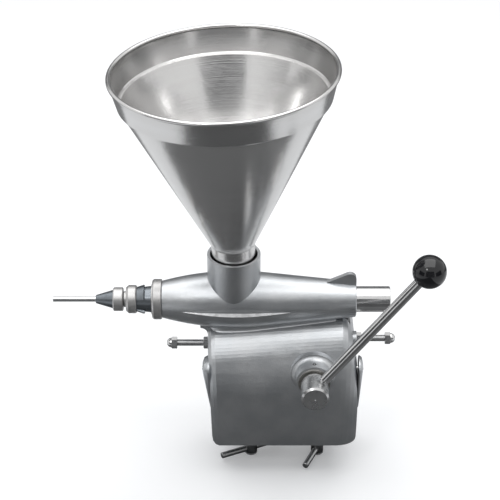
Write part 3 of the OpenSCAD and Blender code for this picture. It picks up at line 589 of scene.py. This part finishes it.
@dataclass(frozen=True)
class SealRubber(Finish):
    """Soft black rubber."""

    deep: float = 0.018
    pale: float = 0.035
    roughness: float = 0.6
    bloom_mm: float = 3.0
    bloom_depth_mm: float = 0.03
    bloom_rough: float = 0.2

    def build(self) -> bpy.types.Material:
        """Return the seals' material."""
        g = self.graph()
        bloom = g.noise(self.bloom_mm, detail=3.0)
        return g.finish(
            {
                "Base Color": g.blend(bloom, grey(self.deep), grey(self.pale)),
                "Roughness": bloom * self.bloom_rough + self.roughness,
                "Normal": g.relief(bloom, self.bloom_depth_mm),
            }
        )


class Finishes:
    """Every finish that the sub-assemblies share, made once."""

    def __init__(self) -> None:
        """Build the materials."""
        along_x = Vector((1, 0, 0))
        along_y = Vector((0, 1, 0))
        self.cast = CastAluminium("cast_aluminium").build()
        self.case = CastAluminium("case_aluminium", roughness=0.40, crown_deg=17.0).build()
        self.ground = DullMetal("ground_land", grey(0.93, -0.01), 0.50).build()
        self.plate = BrightPlate("bright_plate").build()
        self.zinc = DullMetal("zinc_plate", grey(0.50, -0.01)).build()
        self.machined = DullMetal("machined_steel", grey(0.45), 0.30).build()
        self.bronze = DullMetal("bearing_bronze", (0.40, 0.39, 0.37, 1.0), 0.38).build()
        self.satin = TurnedSteel("satin_steel", along_x, 0.52, 0.42, 0.012).build()
        self.dark = TurnedSteel("dark_steel", along_x, 0.20, 0.30, -0.08).build()
        self.tube = TurnedSteel("polished_tube", along_x, 0.66, 0.14).build()
        self.hub = TurnedSteel("turned_hub", along_y, 0.56, 0.27).build()
        self.black = MouldedGloss("black_plastic").build()
        self.rubber = SealRubber("seal_rubber").build()


# ------------------------------------------------------------------ mesh helpers


class Shading(Enum):
    """How the faces of a piece meet."""

    SMOOTH = True
    FLAT = False


class Blank:
    """One mesh under construction, in millimetres about the barrel's zero."""

    def __init__(self, name: str) -> None:
        """Start an empty mesh.

        Args:
            name: the piece's name.
        """
        self.name = name
        self.mesh = bmesh.new()

    def turn(self, profile: Sequence[Point], centre: Vector, steps: int) -> None:
        """Spin an outline about an upright axis.

        Args:
            profile: radius and height pairs.
            centre: the point on the axis that heights are measured from.
            steps: the number of segments.
        """
        verts = [
            self.mesh.verts.new(Vector((radius, 0.0, height)) + centre)
            for radius, height in profile
        ]
        edges = [self.mesh.edges.new(pair) for pair in zip(verts, verts[1:])]
        bmesh.ops.spin(
            self.mesh,
            geom=verts + edges,
            cent=centre,
            axis=UP,
            angle=math.tau,
            steps=steps,
            use_merge=True,
        )
        bmesh.ops.remove_doubles(self.mesh, verts=self.mesh.verts, dist=1e-4)

    def loft(self, outlines: Sequence[Sequence[Vector]], marked: int | None = None) -> None:
        """Join closed outlines point to point, one after another, and close both ends.

        Args:
            outlines: the outlines, each with as many points as the others.
            marked: the number of the side that takes the second material, if one does.
        """
        rings = [[self.mesh.verts.new(point) for point in outline] for outline in outlines]
        for ring, after in zip(rings, rings[1:]):
            near, far = ring + ring[:1], after + after[:1]
            for side, corners in enumerate(zip(near, near[1:], far[1:], far)):
                face = self.mesh.faces.new(corners)
                face.material_index = int(side == marked)
        self.mesh.faces.new(rings[0])
        self.mesh.faces.new(rings[-1])

    def fix(
        self, materials: Sequence[bpy.types.Material], shading: Shading = Shading.SMOOTH
    ) -> None:
        """Turn the mesh into an object in frame metres and fix it to the casting.

        Args:
            materials: its finishes.
            shading: how its faces meet.
        """
        bmesh.ops.recalc_face_normals(self.mesh, faces=self.mesh.faces)
        matrix = Matrix.Scale(MM, 4) @ Matrix.Translation(BARREL_ZERO)
        bmesh.ops.transform(self.mesh, matrix=matrix, verts=self.mesh.verts)
        for face in self.mesh.faces:
            face.smooth = shading.value
        item = mesh_object(self.name, self.mesh, materials)
        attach(item, "body")
        LOG.info("%s added to the casting", self.name)


def mesh_object(
    name: str, mesh: bmesh.types.BMesh, materials: Sequence[bpy.types.Material]
) -> bpy.types.Object:
    """Turn a finished mesh into an object of the scene and free it.

    Args:
        name: the object's name.
        mesh: the mesh, in frame metres.
        materials: its finishes.

    Returns:
        The new object.
    """
    data = bpy.data.meshes.new(name)
    mesh.to_mesh(data)
    mesh.free()
    for material in materials:
        data.materials.append(material)
    item = bpy.data.objects.new(name, data)
    bpy.context.scene.collection.objects.link(item)
    return item


# ------------------------------------------------------------------ studio


class Facing(Enum):
    """Where a card of the studio looks."""

    UP = "up from the floor"
    LEVEL = "level, at the studio's middle"
    PART = "at the part"


@dataclass(frozen=True)
class Softbox:
    """One rectangular lamp: its place and size in metres, its power in watts."""

    name: str
    spot: Vector
    size: Point
    power: float

    def build(self, aim: Vector) -> None:
        """Hang the lamp.

        Args:
            aim: the point it faces.
        """
        data = bpy.data.lights.new(self.name, "AREA")
        data.shape = "RECTANGLE"
        data.size, data.size_y = self.size
        data.energy = self.power
        item = bpy.data.objects.new(self.name, data)
        item.location = self.spot
        item.rotation_euler = (aim - self.spot).to_track_quat("-Z", "Y").to_euler()
        bpy.context.scene.collection.objects.link(item)


@dataclass(frozen=True)
class Flag:
    """A dark card that only reflections see: its middle and size in metres, its grey."""

    name: str
    spot: Vector
    size: Point
    level: float
    facing: Facing

    def build(self, part: Vector) -> None:
        """Stand the card.

        Args:
            part: the middle of the part.
        """
        aims = {
            Facing.UP: self.spot + UP,
            Facing.LEVEL: Vector((0, 0, self.spot.z)),
            Facing.PART: part,
        }
        turn = (aims[self.facing] - self.spot).to_track_quat("-Z", "Y").to_matrix().to_4x4()
        matrix = Matrix.Translation(self.spot) @ turn @ Matrix.Diagonal((*self.size, 1, 1))
        card = bmesh.new()
        bmesh.ops.create_grid(card, x_segments=1, y_segments=1, size=0.5, matrix=matrix)
        paint = Graph(bpy.data.materials.new(self.name)).finish(
            {"Base Color": grey(self.level), "Roughness": 1.0, "Specular IOR Level": 0.0}
        )
        item = mesh_object(self.name, card, [paint])
        item.visible_camera = False
        item.visible_diffuse = False
        item.visible_transmission = False
        item.visible_shadow = False


@dataclass(frozen=True)
class Studio:
    """The floor, the lamps, the world and the camera, in metres."""

    focal_px: float = 1577.0
    pitch_deg: float = 31.4
    eye: Vector = field(default_factory=lambda: place(19.6, -1629.7, 1065.8))
    near: float = 0.05
    far: float = 30.0
    floor_z: float = -0.1185
    floor_r: float = 4.0
    floor_segments: int = 96
    floor_grey: float = 0.80
    floor_roughness: float = 0.8
    floor_glow: float = 0.22
    card_lift: float = 0.004
    ambient: float = 0.55
    ambient_colour: Colour = (0.93, 0.96, 1.0, 1)

    def camera(self) -> None:
        """Set the camera that matches the photograph."""
        data = bpy.data.cameras.new("camera")
        data.sensor_fit = "HORIZONTAL"
        data.sensor_width = SENSOR_MM
        data.lens = self.focal_px / IMAGE_PX * SENSOR_MM
        data.clip_start = self.near
        data.clip_end = self.far
        item = bpy.data.objects.new("camera", data)
        item.location = self.eye
        item.rotation_euler = (math.radians(90 - self.pitch_deg), 0, 0)
        bpy.context.scene.collection.objects.link(item)
        bpy.context.scene.camera = item

    def world(self) -> None:
        """Light from all round, white to the camera and to reflections."""
        g = Graph(bpy.data.worlds.new("studio"))
        bpy.context.scene.world = g.owner
        straight = g.add("ShaderNodeLightPath", output="Is Camera Ray")
        through = g.add("ShaderNodeLightPath", output="Is Transmission Ray")
        mirrored = g.add("ShaderNodeLightPath", output="Is Glossy Ray")
        shown = straight.at_least(through).at_least(mirrored)
        seen = g.add("ShaderNodeBackground", inputs={"Color": grey(1.0), "Strength": 1.0})
        light = g.add(
            "ShaderNodeBackground",
            inputs={"Color": self.ambient_colour, "Strength": self.ambient},
        )
        mixed = g.add("ShaderNodeMixShader", inputs={0: shown, 1: light, 2: seen})
        g.add("ShaderNodeOutputWorld", inputs={"Surface": mixed}, output=None)

    def floor(self) -> None:
        """Lay a pale floor under the part, a little lighter to the camera."""
        g = Graph(bpy.data.materials.new("pale_floor"))
        straight = g.add("ShaderNodeLightPath", output="Is Camera Ray")
        paint = g.add(
            "ShaderNodeBsdfPrincipled",
            inputs={"Base Color": grey(self.floor_grey), "Roughness": self.floor_roughness},
        )
        glow = g.add(
            "ShaderNodeEmission", inputs={"Color": grey(1.0), "Strength": self.floor_glow}
        )
        lit = g.add("ShaderNodeAddShader", inputs={0: paint, 1: glow})
        mixed = g.add("ShaderNodeMixShader", inputs={0: straight, 1: paint, 2: lit})
        g.add("ShaderNodeOutputMaterial", inputs={"Surface": mixed}, output=None)
        disc = bmesh.new()
        matrix = Matrix.Translation(UP * self.floor_z)
        bmesh.ops.create_circle(
            disc,
            cap_ends=True,
            segments=self.floor_segments,
            radius=self.floor_r,
            matrix=matrix,
        )
        item = mesh_object("floor", disc, [g.owner])

    def light(self) -> None:
        """Hang the lamps, and stand the cards that keep the metal's reflections dark; the near
        floor card is a painted shadow.
        """
        part = place(20, 0, 60)
        for lamp in (
            Softbox("sky", place(20, 200, 2400), (3.2, 3.0), 62.0),
            Softbox("key_left", Vector((-1.0, -1.9, 2.3)), (0.5, 0.5), 6.0),
        ):
            lamp.build(part)
        low = self.floor_z + self.card_lift
        over = low + self.card_lift / 2
        for flag in (
            Flag("flag_floor", Vector((-0.02, -1.35, low)), (0.80, 2.9), 0.10, Facing.UP),
            # A dark card on the floor just under the part: a painted shadow of the part, which
            # only reflections see
            Flag("flag_painted_shadow", Vector((-0.02, -0.11, over)), (0.80, 0.36), 0.17, Facing.UP),
            Flag("flag_floor_back", Vector((0, 2.2, low)), (5.0, 3.4), 0.20, Facing.UP),
            Flag("flag_front", Vector((0, -3.2, 1.05)), (3.4, 2.5), 0.22, Facing.LEVEL),
            Flag("flag_back", Vector((0, 3.4, 1.0)), (6.0, 2.2), 0.26, Facing.LEVEL),
            Flag("flag_left", Vector((-3.0, -1.9, 0.6)), (2.6, 1.6), 0.12, Facing.PART),
            Flag("flag_right", Vector((3.0, -1.9, 0.6)), (2.6, 1.6), 0.12, Facing.PART),
        ):
            flag.build(part)

    def build(self) -> None:
        """Set up the whole studio."""
        bpy.context.scene.view_settings.view_transform = "Standard"
        self.camera()
        self.world()
        self.floor()
        self.light()
        LOG.info("studio ready")


# ------------------------------------------------------------------ fine pieces of the casting


@dataclass(frozen=True)
class BarrelOutline:
    """The barrel's outside: two arcs that meet at its fullest place, then a plain taper."""

    fullest_r: float = 35.5
    fullest_x: float = 6.0
    left_rho: float = 362.5
    bend_rho: float = 240.0
    taper_deg: float = 5.8

    def radius(self, x: float) -> float:
        """Return the outer radius at a place along the barrel."""
        if x < self.fullest_x:
            away = self.fullest_x - x
            return self.fullest_r - self.left_rho + math.sqrt(self.left_rho**2 - away**2)
        taper = math.radians(self.taper_deg)
        bend_end = self.fullest_x + self.bend_rho * math.sin(taper)
        if x < bend_end:
            away = x - self.fullest_x
            return self.fullest_r - self.bend_rho + math.sqrt(self.bend_rho**2 - away**2)
        drop = self.bend_rho * (1 - math.cos(taper)) + (x - bend_end) * math.tan(taper)
        return self.fullest_r - drop


@dataclass(frozen=True)
class CaseShoulder:
    """The gear case's front: a round shoulder over a belly, with a top that rises to +X."""

    shoulder_r: float = 38.0
    belly_r: float = 400.0
    belly_y: float = -58.0
    belly_z: float = -150.0
    left_x: float = -32.0
    right_x: float = 126.0
    top_at_left: float = -31.9
    top_slope: float = 0.0622
    edge_r: float = 9.0

    def share(self, x: float) -> float:
        """Return how far along the case a place lies, from 0 to 1."""
        return (x - self.left_x) / (self.right_x - self.left_x)

    def centre(self, x: float) -> Vector:
        """Return the shoulder's centre, as Y and Z, at a place along the case."""
        height = self.top_at_left + self.top_slope * (x - self.left_x) - self.shoulder_r
        run = self.belly_r - self.shoulder_r
        lean = math.asin((height - self.belly_z) / run)
        return Vector((self.belly_y + self.belly_r - run * math.cos(lean), height))

    def radius(self, x: float) -> float:
        """Return the shoulder's radius, less at the case's rounded left edge."""
        inside = max(self.left_x + self.edge_r - x, 0.0)
        inset = self.edge_r - math.sqrt(self.edge_r**2 - inside**2)
        return self.shoulder_r - inset


@dataclass(frozen=True)
class CastFillet:
    """The cast fillet where the case's shoulder meets the front of the barrel."""

    barrel: BarrelOutline
    case: CaseShoulder
    radius_end: float = 1.5
    radius_left: float = 6.5
    radius_right: float = 2.5
    run_in: float = 16.0
    sunk: float = 0.5
    root: float = 7.0
    stations: int = 48
    arc_steps: int = 8

    def radius(self, x: float) -> float:
        """Return the fillet's radius: it swells at the left end, then shrinks to the right."""
        full = self.radius_left + (self.radius_right - self.radius_left) * self.case.share(x)
        rise = min(1.0, (x - self.case.left_x) / self.run_in)
        return self.radius_end + (full - self.radius_end) * math.sin(rise * math.pi / 2)

    def section(self, x: float) -> list[Vector]:
        """Return the fillet's outline at one place, from inside the barrel round the arc.

        Args:
            x: the place along the barrel.

        Returns:
            The closed outline's points.
        """
        centre = self.case.centre(x)
        radius = self.radius(x)
        to_barrel = self.barrel.radius(x) - self.sunk + radius
        to_case = self.case.radius(x) - self.sunk + radius
        apart = centre.length
        down = centre / apart
        along = (to_barrel**2 - to_case**2 + apart**2) / (2 * apart)
        across = math.sqrt(max(to_barrel**2 - along**2, 0.0))
        middle = down * along + Vector((down.y, -down.x)) * across
        start = middle * (1 - radius / to_barrel) - middle
        end = (centre - middle) * radius / to_case
        first = math.atan2(start.y, start.x)
        sweep = math.atan2(end.y, end.x) - first
        points = [down * (self.barrel.radius(x) - self.root)]
        for step in range(self.arc_steps + 1):
            turn = first + sweep * step / self.arc_steps
            points.append(middle + Vector((math.cos(turn), math.sin(turn))) * radius)
        return [Vector((x, point.x, point.y)) for point in points]

    def build(self, finishes: Finishes) -> None:
        """Loft the fillet and fix it to the casting.

        Args:
            finishes: the shared finishes.
        """
        case = self.case
        step = (case.right_x - case.left_x) / self.stations
        blank = Blank("cast_fillet")
        blank.loft([self.section(case.left_x + step * n) for n in range(self.stations + 1)])
        blank.fix([finishes.cast])


@dataclass(frozen=True)
class PartingLand:
    """The land along the barrel's parting line, ground to a long lens of bare metal.

    Each point of its outline is a turn in degrees over the parting line and a height over
    the barrel.
    """

    barrel: BarrelOutline
    middle_x: float = 3.0
    half_length: float = 66.0
    least_lens: float = 0.02
    stations: int = 40
    upper_foot: Point = (15.0, -0.3)
    upper_edge: Point = (6.0, 0.7)
    groove: Point = (3.4, -0.1)
    lip: Point = (-3.0, 2.2)
    lower_foot: Point = (-6.5, -0.3)
    root: Point = (0.0, -4.0)
    # The side between the groove and the lip
    ground_side: int = 2

    def section(self, share: float) -> list[Vector]:
        """Return the land's outline at one place.

        Args:
            share: the place, from -1 at the left end to 1 at the right.

        Returns:
            The closed outline's points.
        """
        x = self.middle_x + self.half_length * share
        lens = max(1 - share**2, self.least_lens)
        points = []
        for turn, over in (
            self.upper_foot, self.upper_edge, self.groove, self.lip, self.lower_foot, self.root,
        ):
            angle = math.radians(turn * lens)
            reach = self.barrel.radius(x) + (over * lens if over > 0 else over)
            points.append(Vector((x, -reach * math.cos(angle), reach * math.sin(angle))))
        return points

    def build(self, finishes: Finishes) -> None:
        """Loft the land, with its ground side in a finish of its own.

        Args:
            finishes: the shared finishes.
        """
        blank = Blank("parting_land")
        shares = [2 * n / self.stations - 1 for n in range(self.stations + 1)]
        blank.loft([self.section(share) for share in shares], self.ground_side)
        blank.fix([finishes.cast, finishes.ground], Shading.FLAT)


@dataclass(frozen=True)
class OilHole:
    """The small oiler pressed into the top of the lever's boss."""

    boss_r: float = 22.5
    along_y: float = -65.5
    steps: int = 32
    outline: tuple[Point, ...] = (
        (0.0, -0.6), (0.7, -0.65), (1.1, -0.9), (1.3, 0.2), (2.0, 0.35), (2.3, 0.1), (2.3, -2.0),
        (0.0, -2.0),
    )

    def build(self, finishes: Finishes) -> None:
        """Turn the oiler and set it over the lever's shaft.

        Args:
            finishes: the shared finishes.
        """
        low, high = (Vector(corner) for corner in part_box("front_bush"))
        shaft = (low + high) / 2 / MM - BARREL_ZERO
        blank = Blank("oil_hole")
        top = Vector((shaft.x, self.along_y, shaft.z + self.boss_r))
        blank.turn(self.outline, top, self.steps)
        blank.fix([finishes.black])


# ------------------------------------------------------------------ sub-assemblies


@dataclass(frozen=True)
class SubAssembly:
    """A group of CAD nodes, and the finish that each of them wears."""

    nodes: dict[str, bpy.types.Object]
    finishes: Finishes

    def dress(self, material: bpy.types.Material, *names: str) -> None:
        """Give CAD nodes their finish.

        Args:
            material: the finish.
            names: the nodes' names.
        """
        for name in names:
            slots = self.nodes[name].data.materials
            slots.clear()
            slots.append(material)
            LOG.info("%s wears %s", name, material.name)


@dataclass(frozen=True)
class Casting(SubAssembly):
    """The barrel, the gear case and what closes them, with the casting's fine pieces."""

    barrel: BarrelOutline = BarrelOutline()
    shoulder: CaseShoulder = CaseShoulder()

    def build(self) -> None:
        """Dress the castings and add their fine pieces."""
        wear = self.finishes
        self.dress(wear.cast, "barrel_casting", "rear_cover")
        self.dress(wear.case, "body_casting")
        self.dress(wear.rubber, "cover_gasket")
        self.dress(wear.zinc, "cover_screws")
        self.dress(wear.plate, "side_plugs")
        self.dress(wear.bronze, "front_bush", "rear_bush")
        CastFillet(self.barrel, self.shoulder).build(wear)
        PartingLand(self.barrel).build(wear)
        OilHole().build(wear)


class LeverDrive(SubAssembly):
    """The lever, its shaft and sector, and the piston with its rack."""

    def build(self) -> None:
        """Dress the drive."""
        wear = self.finishes
        self.dress(wear.machined, "lever_shaft", "drive_key", "thrust_washer")
        self.dress(wear.zinc, "sector_gear", "hub_pin")
        self.dress(wear.hub, "lever_hub")
        self.dress(wear.plate, "lever_rod", "piston")
        self.dress(wear.black, "ball_knob")
        self.dress(wear.rubber, "piston_seals")


class DoseStops(SubAssembly):
    """The two screws that limit the lever's swing, with their nuts."""

    def build(self) -> None:
        """Dress the stops."""
        self.dress(self.finishes.zinc, "stop_screw_left", "stop_screw_right")
        self.dress(self.finishes.plate, "cap_nut_left", "cap_nut_right", "lock_nuts")


class TableClamp(SubAssembly):
    """The two clamp screws with their tommy bars and pads."""

    def build(self) -> None:
        """Dress the clamp."""
        for side in ("left", "right"):
            names = (f"{piece}_{side}" for piece in ("clamp_screw", "tommy_bar", "clamp_pad"))
            self.dress(self.finishes.zinc, *names)


class Nozzle(SubAssembly):
    """The spring valve, its couplings and the needle."""

    def build(self) -> None:
        """Dress the nozzle."""
        wear = self.finishes
        self.dress(wear.satin, "union_ring", "bayonet_ring", "nozzle_nut", "nozzle_adapter")
        self.dress(wear.dark, "valve_body", "nozzle_cone")
        self.dress(wear.tube, "nozzle_tube")
        self.dress(wear.plate, "valve_ball")
        self.dress(wear.machined, "valve_spring")
        self.dress(wear.rubber, "flange_gasket")


@dataclass(frozen=True)
class Hopper(SubAssembly):
    """The spun hopper, which leans a little towards the needle."""

    lean_deg: float = 2.4
    ring_zero: Vector = field(default_factory=lambda: place(0, 0, 60))

    def build(self) -> None:
        """Dress the hopper in one spun sheet."""
        lean = math.radians(self.lean_deg)
        axis = Vector((-math.sin(lean), 0.0, math.cos(lean)))
        sheet = SpunSteel("spun_sheet", axis, self.ring_zero).build()
        self.dress(sheet, "hopper_shell", "hopper_rim", "hopper_neck")


def main() -> None:
    """Build the whole scene."""
    logging.basicConfig(level=logging.INFO, format="%(message)s")
    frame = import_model()
    Studio().build()
    finishes = Finishes()
    for group in (Casting, LeverDrive, DoseStops, TableClamp, Nozzle, Hopper):
        group(frame["nodes"], finishes).build()


if __name__ == "__main__":
    main()
